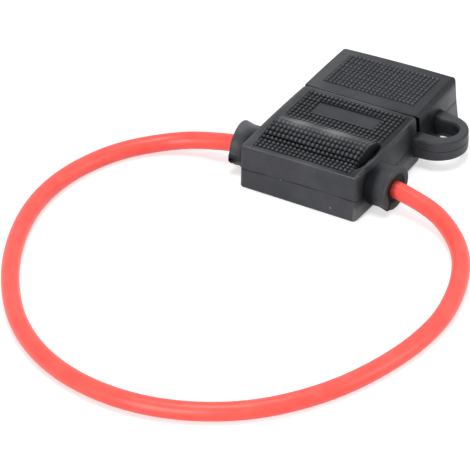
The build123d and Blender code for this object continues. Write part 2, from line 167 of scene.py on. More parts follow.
# %% [markdown]
# A finish starts from object coordinates in millimetres. Every piece's object stays at the origin, so
# these are the same for all pieces, and grain runs on from one piece to the next.


# %% Start of a material
class Finish:
    """A material with a Principled shader, and wires for its object coordinates in millimetres."""

    def __init__(self, name, **plain):
        self.material = bpy.data.materials.new(name)
        self.material.use_nodes = True
        self.tree = self.material.node_tree
        self.shader = self.tree.nodes["Principled BSDF"]
        for socket, value in plain.items():
            self.shader.inputs[socket.replace("_", " ")].default_value = value
        coordinates = self.tree.nodes.new("ShaderNodeTexCoord")
        metres = Wire(self.tree, coordinates.outputs["Object"])
        self.place = metres.node("ShaderNodeVectorMath", {"operation": "SCALE"}, i0=metres, Scale=1 / MM)
        split = self.place.node("ShaderNodeSeparateXYZ", i0=self.place)
        self.x, self.y, self.z = (Wire(self.tree, socket) for socket in split.socket.node.outputs)

    def noise(self, scale, detail, roughness=0.5, stretch=(1, 1, 1)):
        """Cloudy noise: scale is the number of blobs per millimetre, stretch makes it finer along an axis."""
        along = self.place.node("ShaderNodeMapping", Vector=self.place, Scale=stretch)
        return along.node(
            "ShaderNodeTexNoise", Vector=along, Scale=scale, Detail=detail, Roughness=roughness
        )

    def attribute(self, name):
        """A number that the mesh keeps for each of its points, or 0 on a mesh without it."""
        return self.place.node("ShaderNodeAttribute", {"attribute_name": name}, output=2)

    def feed(self, socket, wire):
        """Connect a wire to one of the shader's sockets."""
        self.tree.links.new(wire.socket, self.shader.inputs[socket])

    def bump(self, height):
        """Feed a height in millimetres to the shader's normal."""
        self.feed("Normal", height.node("ShaderNodeBump", Height=height, Distance=MM, Strength=1.0))


# %% [markdown]
# ## Black moulding
#
# The moulding is flexible PVC. It has a satin skin with a faint, fine grain from the mould, slightly
# cloudy where the melt cooled unevenly, with small pale specks and scuffs from handling and two pale dots
# on the front face. Its base colour is nearly black: the grey of the photograph is mostly light that the
# satin skin reflects. Grooves, corners, gaps and shaded walls carry painted shade, darker still and
# duller, and painted highlights on rims, dome tops and the hump's worn crest are paler and glossier. The
# meshes say where, in a number for each point: 1 is the deepest painted shade, 0 is the plain skin, and
# the further below 0 it lies, the stronger the painted highlight or the wear; a few margins are also
# darkened or paled a little. A dielectric always mirrors some light, and a metal mirrors its own colour,
# so a black metal share takes the gloss out of the painted shade.

# %% Black moulding finish
skin_dark, skin_pale = (0.0280, 0.0300, 0.0355), (0.0405, 0.0427, 0.0490)
scuff_grey, speck_grey, dot_grey = (0.075, 0.077, 0.082), (0.17, 0.17, 0.17), (0.22, 0.22, 0.22)
# The paler grey of painted highlights and wear, and the near black of painted shade.
highlight_and_worn_grey, shade_black = (0.170, 0.173, 0.182), (0.0015, 0.0015, 0.0020)
front_dots = ((-4.21, 4.75, 0.22), (8.19, 1.75, 0.30))

black = Finish("black_moulding", Specular_IOR_Level=0.3)
# The meshes' number for each point: painted shade above 0, painted highlight and wear below 0.
painted_light_and_wear = black.attribute("painted_light_and_wear")
shade_and_darkening = painted_light_and_wear.clamp()
highlight_and_wear = (painted_light_and_wear * -1.0).clamp()
cloud = black.noise(0.16, 3.0)
grain = black.noise(5.0, 3.0, 0.6)
scuff = black.noise(0.9, 5.0, 0.7, stretch=(0.5, 1.6, 1.0)).between(0.60, 0.78)
speck = black.noise(1.7, 2.0, 0.4).between(0.745, 0.78)
skin = cloud.between(0.35, 0.7).blend(skin_dark, skin_pale)
skin = (scuff * 0.35).blend(skin, scuff_grey)
skin = (speck * 0.5).blend(skin, speck_grey)
on_front = (black.y * -1.0).between(13.5, 14.0)
for dot_x, dot_z, dot_radius in front_dots:
    off_x, off_z = black.x - dot_x, black.z - dot_z
    away = (off_x * off_x + off_z * off_z).math("SQRT")
    skin = (away.near(0.0, dot_radius) * on_front).blend(skin, dot_grey)
# Painted highlights and wear pale the skin, and painted shade darkens it.
skin = highlight_and_wear.blend(skin, highlight_and_worn_grey)
black.feed("Base Color", shade_and_darkening.blend(skin, shade_black))
dullness = cloud * 0.12 + grain * 0.10 + scuff * 0.08 + shade_and_darkening * 0.35 - highlight_and_wear * 0.10 + 0.33
black.feed("Roughness", dullness.clamp())
# A black metal share takes the gloss out of the painted shade.
black.feed("Metallic", shade_and_darkening.between(0.0, 1.0) * 0.9)
black.bump(grain * 0.030 + cloud * 0.20 + scuff * 0.010)
print("black moulding nodes:", len(black.tree.nodes))

# %% [markdown]
# ## Red cable
#
# The cable's insulation is PVC too, but glossier and a little translucent, so its colour stays bright in
# its own shade. A little light scattered under the surface gives that, together with a soft highlight
# along the top of the loop. Painted shade darkens it where it enters the glands.

# %% Red cable finish
red_deep, red_bright, red_shaded = (0.90, 0.082, 0.062), (0.95, 0.105, 0.082), (0.22, 0.012, 0.010)
gland_mouth = 19.4

red = Finish(
    "red_insulation",
    Specular_IOR_Level=0.4,
    Subsurface_Weight=0.12,
    Subsurface_Scale=0.0012,
    Subsurface_Radius=(1.0, 0.35, 0.25),
)
dull = red.noise(0.25, 3.0)
drawn = red.noise(2.2, 2.0)
fresh = dull.between(0.3, 0.75).blend(red_deep, red_bright)
# A ring of painted shade where the cable enters each gland.
gland_mouth_shade = red.x.math("ABSOLUTE").near(gland_mouth, 1.6) * red.y.between(-12.0, -10.0)
red.feed("Base Color", (gland_mouth_shade * 0.75).blend(fresh, red_shaded))
red.feed("Roughness", (dull * 0.16 + drawn * 0.06 + 0.27).clamp())
red.bump(drawn * 0.012 + dull * 0.05)

# %% [markdown]
# ## Metals and the fuse's plastic
#
# The terminals are pressed from tinned brass, the wire is copper, the fuse's blades are zinc with a dull
# tin skin, and its housing is a clear green plastic, the usual colour of the thirty ampere fuse that
# suits so thick a cable. The fuse shows when the cap is drawn off. The terminals and the wire's ends stay
# hidden in the moulding, but they get the same care.

# %% Metal and plastic finishes
tin = Finish("tinned_brass", Metallic=1.0)
tin_cloud = tin.noise(0.8, 4.0)
tin_line = tin.noise(3.0, 2.0, stretch=(0.15, 3.0, 3.0))
tin.feed("Base Color", tin_cloud.between(0.35, 0.7).blend((0.62, 0.58, 0.50), (0.74, 0.71, 0.64)))
tin.feed("Roughness", (tin_cloud * 0.22 + tin_line * 0.12 + 0.16).clamp())
tin.bump(tin_line * 0.006)

copper = Finish("bare_copper", Metallic=1.0)
copper_cloud = copper.noise(0.9, 3.0)
strand = (copper.y + copper.z * 0.8).math("SINE")
copper.feed("Base Color", copper_cloud.between(0.3, 0.7).blend((0.62, 0.26, 0.13), (0.80, 0.40, 0.24)))
copper.feed("Roughness", (copper_cloud * 0.2 + 0.22).clamp())
copper.bump(strand * 0.05)

zinc = Finish("fuse_blade_metal", Metallic=1.0)
zinc_cloud = zinc.noise(1.1, 4.0)
zinc_line = zinc.noise(2.5, 2.0, stretch=(3.0, 0.15, 3.0))
zinc.feed("Base Color", zinc_cloud.between(0.35, 0.7).blend((0.60, 0.60, 0.60), (0.75, 0.75, 0.74)))
zinc.feed("Roughness", (zinc_cloud * 0.2 + zinc_line * 0.12 + 0.20).clamp())
zinc.bump(zinc_line * 0.005)

shell = Finish("fuse_shell", Transmission_Weight=0.35, IOR=1.53)
shell_cloud = shell.noise(0.5, 2.0)
shell.feed("Base Color", shell_cloud.between(0.3, 0.7).blend((0.06, 0.50, 0.17), (0.10, 0.60, 0.22)))
shell.feed("Roughness", (shell_cloud * 0.12 + 0.14).clamp())
shell.bump(shell_cloud * 0.03)


# %% [markdown]
# ## Surfaces as arrays
#
# A moulding can be drawn as rings: its outline from above, pulled in a little at each height. The top is
# a separate sheet that fills the last ring. Both are numpy arrays of points, worked out all at once, and
# a grid of points turns into faces by numbering its neighbours.


# %% Helpers for grids and meshes
merge_distance = 0.001 * MM


def ring_faces(rings, count, start=0):
    """Number the four corners of every face between closed rings of points, the last joined to the first."""
    ring, step = np.meshgrid(np.arange(rings - 1), np.arange(count), indexing="ij")
    here, after = ring * count + step, ring * count + (step + 1) % count
    return np.stack((here, here + count, after + count, after), -1).reshape(-1, 4) + start


def sheet_faces(columns, rows):
    """Number the four corners of every face of an open sheet of columns by rows of points."""
    column, row = np.meshgrid(np.arange(columns - 1), np.arange(rows - 1), indexing="ij")
    corner = column * rows + row
    return np.stack((corner, corner + rows, corner + rows + 1, corner + 1), -1).reshape(-1, 4)


def count_triangles(mesh):
    """How many triangles a mesh's faces come to."""
    return len(mesh.loops) - 2 * len(mesh.polygons)


def put_mesh(name, points, faces, sharp, marks=None):
    """Make a black piece of points in millimetres: merge doubles, fill open rims and turn faces outwards."""
    mesh = bpy.data.meshes.new(name)
    mesh.from_pydata((np.concatenate(points) * MM).tolist(), [], faces)
    if marks is not None:
        mesh.attributes.new("painted_light_and_wear", "FLOAT", "POINT").data.foreach_set("value", np.concatenate(marks))
    sewn = bmesh.new()
    sewn.from_mesh(mesh)
    bmesh.ops.remove_doubles(sewn, verts=sewn.verts, dist=merge_distance)
    open_rims = [edge for edge in sewn.edges if edge.is_boundary]
    if open_rims:
        bmesh.ops.triangle_fill(sewn, edges=open_rims, use_beauty=True)
    bmesh.ops.recalc_face_normals(sewn, faces=sewn.faces)
    sewn.to_mesh(mesh)
    sewn.free()
    mesh.shade_smooth()
    mesh.set_sharp_from_angle(angle=math.radians(sharp))
    mesh.materials.append(black.material)
    print(name, len(mesh.vertices), "points", count_triangles(mesh), "triangles")
    return put_object(name, mesh)


# %% [markdown]
# ### Four curves
#
# Nearly every height, slant and smudge below is a sum of four curves: a smooth step, a bell, a tent, and
# a plateau between two borders.


# %% Step, bell, tent and plateau
def ramp(value, low, high):
    """Rise smoothly from 0 at low to 1 at high."""
    share = np.clip((value - low) / (high - low), 0, 1)
    return share * share * (3 - 2 * share)


def bell(value, middle, width):
    """Peak with value 1 at the middle, and fade smoothly on both sides, to a third or so at the width."""
    return np.exp(-(((value - middle) / width) ** 2))


def tent(value, middle, width):
    """Peak with value 1 at the middle, and fall in a straight line to 0 at the width on both sides."""
    return np.maximum(1 - np.abs(value - middle) / width, 0)


def within(value, low, high):
    """1 between two borders and 0 beyond them, with a soft step a tenth of a millimetre wide at each."""
    return ramp(value - low, -0.05, 0.05) * ramp(high - value, -0.05, 0.05)


# %% [markdown]
# ### The outline from above
#
# Each side of the outline runs from the middle of one rounded corner to the middle of the next. The
# sides bulge a little, as a soft moulding does when it cools. The seam between the body and the cap
# isn't quite square on the real one: it slants, and it gapes at the right.


# %% Outline of a rounded block
def arc(centre, radius, start, end, count=7):
    """Points and outward directions on an arc, between two angles in degrees."""
    angle = np.radians(np.linspace(start, end, count))
    out = np.stack((np.cos(angle), np.sin(angle)), -1)
    return np.array(centre) + radius * out, out


def side(first, second, radii, angles, count):
    """One side: half a corner, a straight run of points, and half the next corner."""
    start, start_out = arc(first, radii[0], angles[0], angles[1])
    end, end_out = arc(second, radii[1], angles[1], angles[2])
    share = np.linspace(0, 1, count)[1:-1, None]
    run = start[-1] + share * (end[0] - start[-1])
    run_out = np.repeat(start_out[-1:], len(run), 0)
    return np.concatenate((start, run, end)), np.concatenate((start_out, run_out, end_out))


def block_sides(half, near, far, near_radius, far_radius, across, along):
    """The four sides of a rounded block, each with points and outward directions, ready for a Coons sheet."""
    near_centre = half - near_radius, near + near_radius
    far_centre = half - far_radius, far - far_radius
    left_near, left_far = (-near_centre[0], near_centre[1]), (-far_centre[0], far_centre[1])
    front = side(left_near, near_centre, (near_radius, near_radius), (225, 270, 315), across)
    right = side(near_centre, far_centre, (near_radius, far_radius), (-45, 0, 45), along)
    back = side(left_far, far_centre, (far_radius, far_radius), (135, 90, 45), across)
    left = side(left_near, left_far, (near_radius, far_radius), (225, 180, 135), along)
    return front, right, back, left


def one_loop(front, right, back, left):
    """Join the four sides, end to end and counter-clockwise, into a ring without doubled corners."""
    return np.concatenate((front[:-1], right[:-1], back[:0:-1], left[:0:-1]))


def coons(front, right, back, left):
    """Fill four edges: the two ruled sheets between facing edges, added, less the sheet of the corners."""
    u = np.linspace(0, 1, len(front))[:, None, None]
    v = np.linspace(0, 1, len(left))[None, :, None]
    ruled = (1 - v) * front[:, None] + v * back[:, None] + (1 - u) * left[None] + u * right[None]
    corners = (1 - u) * (1 - v) * front[0] + u * (1 - v) * front[-1]
    corners = corners + (1 - u) * v * back[0] + u * v * back[-1]
    return ruled - corners


# %% [markdown]
# ### A block as rings and a sheet
#
# From the top down, a block is a rounded rim, a side that leans out to the parting line, a side that
# goes on out a little to the bottom, as it sagged, and a rounded rim there. The parting line is where
# the two halves of the mould met. It wanders a little, and has a fine dark groove under a low ridge of
# flash. The rims are crisp at the front and softer on the right.
#
# The end at the seam stands upright, and the other sides are drafted.

# %% Profile of the side
thickness = 10.6
parting = 5.0
upper_draft = math.tan(math.radians(2.0))
lower_spread = math.tan(math.radians(4.5))
rim = 0.3
right_rim_share = 2.1
# Painted highlights along the walls' top rims and along the top sheet's edges: their strengths, and how many
# points in the latter reaches. The first strength also sizes the strap's edge marks.
rim_band_share, edge_highlight_share, edge_highlight_points = 0.34, 0.28, 5
corner_angles = np.radians(np.linspace(0, 90, 6))
rim_inset = rim * (1 - np.sin(corner_angles))
rim_drop = rim * (1 - np.cos(corner_angles))
side_heights = np.array(
    [9.4, 8.2, 7.0, 6.1, 5.5, 5.22, 5.12, 5.05, 5.00, 4.95, 4.88, 4.80, 4.5, 3.8, 2.6, 1.2]
)
side_flash = np.array([0, 0, 0, 0, 0, 0.0, 0.015, 0.035, 0.030, -0.070, -0.075, 0.010, 0.01, 0.01, 0, 0])
side_hollow = np.array([0, 0, 0, 0, 0, 0.0, 0.0, 0.1, 0.6, 0.8, 0.8, 0.4, 0, 0, 0, 0])
rim_highlight = rim_band_share * np.sin(2 * corner_angles)
no_rim, no_side = np.zeros(len(rim_drop)), np.zeros(len(side_heights))
heights = np.concatenate((thickness - rim_drop, side_heights, rim_drop[::-1]))
rims = np.concatenate((rim_inset, no_side, rim_inset[::-1]))
drops = np.concatenate((rim_drop, no_side, -rim_drop[::-1]))
flashes = np.concatenate((no_rim, side_flash, no_rim))
# The rings' marks: a painted highlight round the top rim, and the parting line's dark groove.
ring_marks = np.concatenate((-rim_highlight, side_hollow, no_rim))[:, None]
print("rings in a block's side:", len(heights))


def wander(x, y):
    """How far the parting line strays from its height: two slow waves along the way round."""
    way = x + 1.7 * y
    return 0.11 * np.sin(0.23 * way + 0.6) + 0.05 * np.sin(0.71 * way)


def lean_and_soften(out, upright):
    """Each point's share of the draft, and how many times its rim's size, from its outward direction."""
    drafted = 1 - np.clip(out[:, 1] * upright, 0, 1) ** 2
    return drafted, 1 + right_rim_share * np.clip(out[:, 0], 0, 1) ** 2


def block_shell(sides, upright, shape_plan, top_face, wall_shade):
    """Points, faces and marks of painted light and shade of a closed block. Its upright end is at +Y for 1
    and at -Y for -1.
    """
    loop = one_loop(*(points for points, _ in sides))
    out = one_loop(*(directions for _, directions in sides))
    drafted, soft = lean_and_soften(out, upright)
    above = np.maximum(heights - parting, 0) * upper_draft - np.maximum(parting - heights, 0) * lower_spread
    inset = rims[:, None] * soft + (above - flashes)[:, None] * drafted
    ring = loop[None] - inset[..., None] * out[None]
    strayed = bell(heights, parting, 2.2)[:, None] * wander(ring[..., 0], ring[..., 1])
    z = heights[:, None] - drops[:, None] * (soft - 1) + strayed
    x, y = shape_plan(ring[..., 0], ring[..., 1], z)
    z[0] = top_face(x[0], y[0])[0]
    edges = []
    for points, directions in sides:
        drafted, soft = lean_and_soften(directions, upright)
        edges.append(points - (rim * soft + above[0] * drafted)[:, None] * directions)
    plan = coons(*edges)
    top_x, top_y = shape_plan(plan[..., 0], plan[..., 1], thickness)
    top_z, top_marks = top_face(top_x, top_y)
    column, row = np.indices(top_x.shape)
    to_edge = np.minimum.reduce([column, row, top_x.shape[0] - 1 - column, top_x.shape[1] - 1 - row])
    # A painted highlight along the top sheet's edges.
    top_marks = top_marks - edge_highlight_share * np.clip(1 - to_edge / edge_highlight_points, 0, 1)
    top = np.stack((top_x, top_y, top_z), -1)
    walls = np.stack((x, y, z), -1)
    lines = ring_marks * (0.75 + 0.25 * np.sin(0.5 * loop[:, 0] + 0.8 * loop[:, 1]))
    shade = wall_shade(x, y, z)
    wall_marks = np.where(shade > 0, np.maximum(lines, shade), lines + shade)
    faces = sheet_faces(*top.shape[:2]).tolist()
    faces += ring_faces(len(heights), len(loop), top_x.size).tolist()
    last_ring = top_x.size + (len(heights) - 1) * len(loop)
    faces.append(list(range(last_ring, last_ring + len(loop))))
    return [top.reshape(-1, 3), walls.reshape(-1, 3)], faces, [top_marks.ravel(), wall_marks.ravel()]


# %% [markdown]
# ### Grip
#
# The grip is a field of small domes, about one millimetre apart, with a narrow groove round each. The
# height of one is the product of two bumps, one across and one along, each flat in the middle and steep
# at its ends. No two domes are quite the same.


# %% Height of the grip
def domes(column, row):
    """Dome height from 0 to 1, where whole numbers of columns and rows are the grooves."""
    across = np.abs(2 * (column - np.floor(column)) - 1)
    along = np.abs(2 * (row - np.floor(row)) - 1)
    uneven = 0.88 + 0.12 * np.sin(12.9898 * np.floor(column) + 78.233 * np.floor(row))
    return uneven * (1 - across**2) * (1 - along**2)


def settle(x, y):
    """Slow sink and swell of a moulded face, a few hundredths of a millimetre."""
    return 0.035 * np.sin(0.31 * x + 0.9) * np.sin(0.27 * y + 0.4) + 0.012 * np.sin(1.1 * x - 0.8 * y)


def one_mark(hollows, highlight_and_wear):
    """A face's mark: its painted shade and darkening, less the painted highlight and wear where there is
    hardly any shade.
    """
    return hollows - np.where(hollows < 0.5, highlight_and_wear * (1 - hollows), 0)


# %% [markdown]
# ### The body's top
#
# The body's grip climbs over a hump, under which the cable's crimps lie. Two creases cross its foot, it
# has a scooped cheek at each end, and behind it lies a plain window. The real one has raised words in
# that window, and this one leaves it bare. The rows of domes on the front end at the hump's brow, just
# before its top. The grip is crisp on the front and worn down behind the top, where a thumb presses, and
# two patches there carry a painted highlight. Painted shade lies in the grooves, creases, cheeks and lines.

# %% Height of the body's top
grip_half = 12.0
grip_near, grip_far = -13.0, 12.9
grip_rise, groove_depth = 0.42, 0.54
hump_foot, hump_ledge, hump_brow, hump_top, hump_back = -9.6, -8.5, -4.6, -3.9, 1.8
zone_edges = [grip_near, hump_foot, hump_ledge, hump_brow, hump_back, grip_far]
zone_rows = [0, 3, 4, 7, 12, 21]
columns_per_mm = 23 / 24
row_length = (grip_far - hump_back) / 9
window_half = 7.5 / columns_per_mm
window_near, window_far = grip_far - 6.5 * row_length, grip_far - 2.5 * row_length
cheek_middle, cheek_half = -5.2, 5.7
scoop_depth = 1.1


def hump(y):
    """Two small steps, a quarter sine up to the top and half a cosine down behind it."""
    foot = 0.10 * ramp(y, hump_foot, hump_ledge)
    for step in (hump_foot, hump_ledge):
        foot = foot + 0.25 * ramp(y, step - 0.08, step + 0.08)
    climb = 0.9 * np.sin(math.pi / 2 * np.clip((y - hump_ledge) / (hump_top - hump_ledge), 0, 1))
    fall = 1.5 * (1 + np.cos(math.pi * np.clip((y - hump_top) / (hump_back - hump_top), 0, 1))) / 2
    return np.where(y < hump_top, foot + climb, fall)


def body_top(x, y):
    """Height and mark of painted light and shade of the body's top face over its plan."""
    # The borders of the grip and of the window in it.
    across = np.abs(x)
    inside = within(x, -grip_half, grip_half) * within(y, grip_near, grip_far)
    window = within(x, -window_half, window_half) * ramp(y - window_near, -0.4, 0.4)
    window = window * ramp(window_far - y, -0.05, 0.05)
    field = inside * (1 - window)

    # Domes that are worn where the thumb presses, raised on the hump, with the creases cut in.
    dome = domes((x + grip_half) * columns_per_mm, np.interp(y, zone_edges, zone_rows))
    thumbed = bell(y, -2.2, 2.8)
    # Two patches of painted highlight behind the hump's top, where the domes are also worn down.
    patches = 0.12 + 0.80 * bell(x, -6.3, 2.6) + 0.85 * bell(x, 2.5, 3.2)
    crest_highlight_and_wear = bell(y, -1.7, 2.4) * patches
    worn = 1 - 0.68 * thumbed - 0.22 * crest_highlight_and_wear
    grip = grip_rise - 0.06 * thumbed - groove_depth * worn * (1 - dome)
    crease = tent(y, hump_foot, 0.30) + tent(y, hump_ledge, 0.30)
    shoulder = 1 - 0.42 * ramp(x, 9.6, 12.2) ** 2 - 0.2 * ramp(-x, 10.6, 12.2) ** 2
    raised = field * (grip + hump(y) * shoulder - 0.24 * crease) - 0.10 * inside * window

    # A scooped cheek at each end, bowed outwards, and deeper on the right.
    cheek_bow = np.where(x > 0, 1.45, 0.45)
    bow = grip_half + cheek_bow * np.sqrt(np.clip(1 - ((y - cheek_middle) / cheek_half) ** 2, 0, 1))
    scoop = ramp(across - grip_half, -0.02, 0.08) * ramp(bow - across, -0.05, 0.55)
    cheek_shade = ramp(across - grip_half, -0.85, -0.25) * ramp(bow - across, 0.05, 0.95)

    # Fine lines that frame the grip behind the hump and the window.
    frame_line = (y > hump_back) * (y < grip_far) * tent(across, grip_half + 0.02, 0.16)
    back_line = (across < window_half) * tent(y, window_far - 0.08, 0.22)
    side_line = (y > window_near) * (y < window_far) * tent(across, window_half - 0.02, 0.20)
    height = thickness + settle(x, y) + raised - scoop_depth * scoop - 0.12 * frame_line - 0.10 * back_line

    # Painted shade in the grooves, creases, cheeks and fine lines, the deepest of them counting; the plain
    # margins darker towards the right and the window darker; painted highlights on the dome tops and the
    # crest's patches; paler over the gland's bulge and along the left edge.
    groove = field * worn * np.clip(1.30 - 2.3 * dome, 0, 1) * (1 - 0.6 * np.clip(crest_highlight_and_wear, 0, 1))
    dark_crease = field * np.clip(1.6 * crease, 0, 1)
    hollows = [groove, dark_crease, 0.82 * cheek_shade, 0.8 * frame_line, 0.9 * back_line, 0.8 * side_line]
    hollows = np.clip(np.maximum.reduce(hollows), 0, 1)
    over_gland = bell(y, -6.5, 4.0) * (x > grip_half)
    darkening = (1 - inside) * (0.03 + 0.48 * ramp(x, 4.0, 13.0) * (1 - over_gland)) + 0.20 * window * inside
    highlight_and_wear = field * (crest_highlight_and_wear + 0.19 * np.clip(3 * dome - 1.8, 0, 1)) + 0.22 * over_gland
    highlight_and_wear = highlight_and_wear + 0.20 * ramp(-x, 13.2, 14.2)
    return height, one_mark(np.maximum(hollows, darkening), highlight_and_wear)


# %% [markdown]
# ### The body's block and glands
#
# The glands are short thick sleeves on the two sides, where the cable comes out. They are turned shapes:
# a profile carried round the cable. They flare a little at the mouth, the right one's mouth is cut
# askew, and a fin of flash was torn off where the mould's halves met, which left a lip and a tear on
# each. A sleeve's profile runs back through its bore to where it began, so it is a closed ring.

# %% Turned shapes round the gland's axis
gland_y = -6.0
gland_turns = 144
gland_profile = np.array(
    [
        # out of the wall and along the sleeve
        (12.6, 4.95),
        (13.6, 4.95),
        (14.05, 4.93),
        (14.35, 4.80),
        (14.8, 4.70),
        (15.8, 4.66),
        (16.9, 4.66),
        (17.9, 4.70),
        # over the rounded rim
        (18.55, 4.76),
        (18.85, 4.80),
        (19.02, 4.78),
        (19.14, 4.70),
        (19.19, 4.56),
        (19.19, 4.30),
        # across the mouth and back through the bore
        (19.12, 3.60),
        (19.05, 2.80),
        (19.02, 2.20),
        (18.9, 2.02),
        (18.5, 1.99),
        (12.6, 1.99),
        (12.6, 4.95),
    ]
)
# For the right gland and the left: the angles of the lip and the tear, and the tear's width and height.
gland_tears = {1: (0.3, 3.97, 0.045, 0.5), -1: (1.35, 3.40, 0.13, 1.2)}


def gland_sleeve(way, start):
    """Points, faces and marks of painted light and shade of one sleeve. Way is 1 for the right gland and -1
    for the left.
    """
    lip_angle, tear_angle, tear_width, tear_height = gland_tears[way]
    angle = np.linspace(0, 2 * math.pi, gland_turns, endpoint=False)[None]
    x, radius = gland_profile[:, :1], gland_profile[:, 1:]
    outer = (radius > 2.5) * ramp(x, 14.0, 15.0)
    mouth = ramp(x, 16.6, 19.2) * outer
    lumpy = 0.05 * np.sin(2 * angle + 0.7) + 0.03 * np.sin(5 * angle + x) + 0.02 * np.sin(3 * angle - x)
    fin = 0.10 * np.exp(-(np.sin(angle) ** 2) / 0.0012)
    crown = 0.22 * bell(angle, 1.3, 0.8)
    lip = 0.38 * mouth * bell(np.sin((angle - lip_angle) / 2), 0, 0.40)
    torn = 0.7 + 0.3 * np.sin(23 * angle) * np.sin(5.1 * x)
    tear = tear_height * torn * mouth * bell(np.sin((angle - tear_angle) / 2), 0, tear_width)
    reach = np.minimum(radius + outer * (lumpy + fin + crown) + lip + tear, 5.9)
    x = x + 0.28 * (way > 0) * ramp(x, 15.0, 19.0) * (1 + np.cos(angle))
    y = gland_y + reach * np.cos(angle)
    z = np.maximum(parting + reach * np.sin(angle), 0.02)

    # Painted shade lies at the root, mostly on the side towards the front, and in the bore; the mouth's face
    # and the right sleeve are darker, the right one less so on top by the mouth; painted highlights lie on
    # the rim and on the left sleeve's top, and the tear is darker.
    near_side = 0.20 + 0.80 * ramp(-np.cos(angle), -0.3, 0.5)
    gland_root_shade = 0.68 * ramp(17.9 - x, 0.0, 2.6) * near_side * (radius > 2.5)
    dark_bore = 0.7 * (radius < 2.9)
    darker_mouth = 0.18 * (radius > 2.9) * (radius < 4.5)
    darker_right = 0.16 * (way > 0) * outer * (1 - 0.5 * mouth * ramp(np.sin(angle), 0.2, 0.9))
    gland_rim_highlight = 0.06 * (outer > 0) * (x > 18.7) * (radius > 4.6)
    left_top_highlight = 0.40 * (way < 0) * outer * bell(angle, 1.45, 0.45)
    marks = gland_root_shade + dark_bore + darker_mouth + darker_right + 1.5 * tear - gland_rim_highlight - left_top_highlight
    points = np.stack((way * x, y, z), -1).reshape(-1, 3)
    return points, ring_faces(len(gland_profile), gland_turns, start).tolist(), marks.ravel()


# %% [markdown]
# The body is the block and the two sleeves. Its plan says how the block's outline is bent, and its shade
# says where its walls get painted shade and painted light.

# %% Body
block_half = 14.0
body_front, body_seam = -14.48, 14.4
seam_slant = 0.27
seam_top = 10.5


def body_plan(x, y, z):
    """Swell the sides, widen them towards the seam and over the gland, slant the seam, and leave a nub."""
    along = y / body_seam
    x = x - 0.40 * bell(x, -14.1, 0.6) * bell(y, -14.3, 0.6) * bell(z, parting + 0.05, 0.13)
    x = x * (14.4 + 0.1 * along + 0.3 * (1 - along**2)) / block_half
    slant = -seam_slant * x / block_half - 0.12 * ramp(x, 0.0, 12.0) - 0.04
    low = ramp(parting - z, 0.0, parting)
    x = x + 0.25 * low * ramp(y, 0.0, 8.0) * ramp(x, 0.0, 12.0)
    x = x + 0.60 * bell(y, -6.8, 3.0) * ramp(x, 11.5, 14.2) * ramp(z, 7.0, 10.4)
    return x, y + slant * ramp(y, 6.0, body_seam) - 0.35 * low * ramp(-y, 8.0, 14.0) * x / block_half


def body_shade(x, y, z):
    """Painted shade on the body's walls round the glands, by the strap's root and in the seam, the right wall
    a little darker overall, and painted light from the floor on its foot.
    """
    off = np.hypot(y - gland_y, z - parting)
    toward_front = 0.25 + 0.45 * ramp(gland_y - y, 0.0, 4.0)
    by_gland = toward_front * bell(off, 5.2, 2.2) * ramp(z, 0.5, 2.5)
    by_strap = 0.5 * bell(y, 10.0, 2.2) * ramp(z, 1.0, 3.0) * (x > 0)
    in_seam = (y > 14.2 - 0.0245 * x) & (z < seam_top)
    # Painted shade round the gland and by the strap, and the whole right wall a little darker.
    darkening = np.maximum(by_gland, by_strap) * (np.abs(x) > 13.8) + 0.10 * (x > 13.8)
    # Painted light from the floor along the right wall's foot.
    foot = 0.42 * ramp(4.2 - z, 0.0, 2.0) * (x > 13.8)
    return np.maximum(darkening * (1 - 2 * foot), in_seam) - foot


body_sides = block_sides(
    block_half, body_front, body_seam, near_radius=0.7, far_radius=1.3, across=240, along=240
)
points, faces, marks = block_shell(body_sides, 1, body_plan, body_top, body_shade)
for way in (1, -1):
    sleeve_points, sleeve_faces, sleeve_marks = gland_sleeve(way, sum(map(len, points)))
    points.append(sleeve_points)
    marks.append(sleeve_marks)
    faces += sleeve_faces
body = put_mesh("body_moulding", points, faces, sharp=50, marks=marks)

# %% [markdown]
# ### The collar
#
# The collar that the cap slides over, with the fuse's pocket in it, is all flat faces, and the CAD model
# has it exactly. Its triangles are copied from the frame: those that lie beyond the seam. Its root is
# drawn back into the body, because the slanted seam lies behind it on the right, and the open rims that
# the cut leaves there are filled.


# %% Copy part of a CAD node
def cad_beyond(node, border):
    """Points in millimetres and faces of a CAD node's triangles whose middles lie beyond a border on Y."""
    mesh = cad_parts[node].data
    places = np.zeros(len(mesh.vertices) * 3)
    mesh.vertices.foreach_get("co", places)
    places = places.reshape(-1, 3) / MM
    mesh.calc_loop_triangles()
    corners = np.zeros(len(mesh.loop_triangles) * 3, int)
    mesh.loop_triangles.foreach_get("vertices", corners)
    corners = corners.reshape(-1, 3)
    corners = corners[places[corners].mean(1)[:, 1] > border]
    used, corners = np.unique(corners, return_inverse=True)
    return places[used], corners.reshape(-1, 3).tolist()


collar_root = 13.6
collar_points, collar_faces = cad_beyond("holder_body", body_seam + 0.01)
collar_points[collar_points[:, 1] < body_seam + 0.05, 1] = collar_root
collar = put_mesh("body_collar", [collar_points], collar_faces, sharp=30)

# %% [markdown]
# ### The cap
#
# The cap is the same kind of block, with a plain field of grip on top. Its cavity is cut with a boolean,
# which suits a straight hole in a closed shape.

# %% Cap
cap_mouth, cap_end, cap_length = 14.6, 33.5, 18.4
cap_grip_near, cap_grip_far, cap_grip_left, cap_grip_right = 18.1, 31.1, -11.6, 10.9
cavity_corners = (-11.35, 13.0, 1.15), (11.35, 31.0, 8.85)


